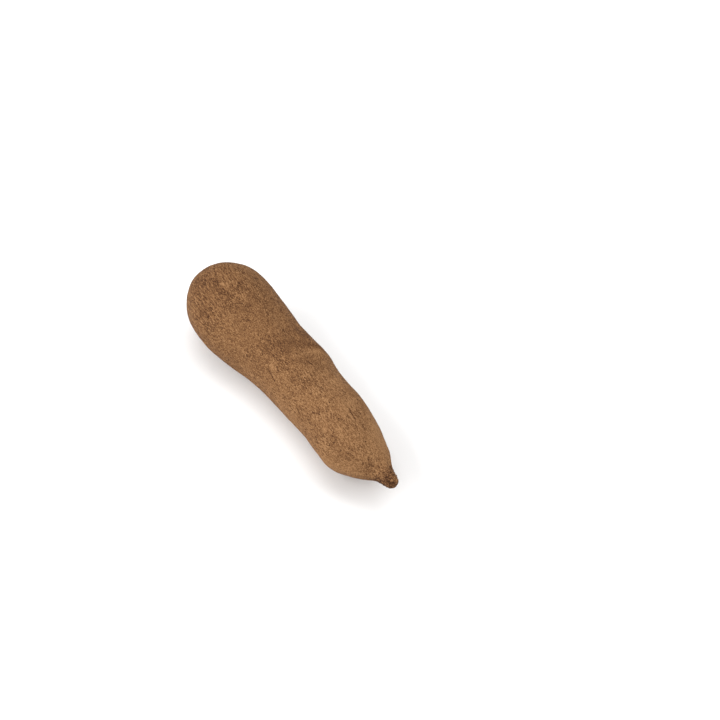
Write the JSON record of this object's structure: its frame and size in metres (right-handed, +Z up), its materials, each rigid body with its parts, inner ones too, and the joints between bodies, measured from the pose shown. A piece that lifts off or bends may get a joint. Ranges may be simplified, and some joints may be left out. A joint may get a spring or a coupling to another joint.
{
  "type": "yam tuber",
  "caption": "Whole yam tuber lying on its side: blunt swollen growing end, slight waist and bend, tapered toe with a small dark stem nub, brown bark-like wrinkled skin.",
  "frame": {"origin": "on the resting surface, below the middle of the tuber's box", "axes": "+X along the tuber towards its stem nub, +Z up, +Y to the left when looking along +X"},
  "size_m": [0.3202, 0.0886, 0.0824],
  "materials": {
    "bark_skin": "matt, fine lengthwise wrinkles, corky, dry"
  },
  "bodies": {
    "root": {"tuber": "bark_skin"}
  },
  "joints": []
}
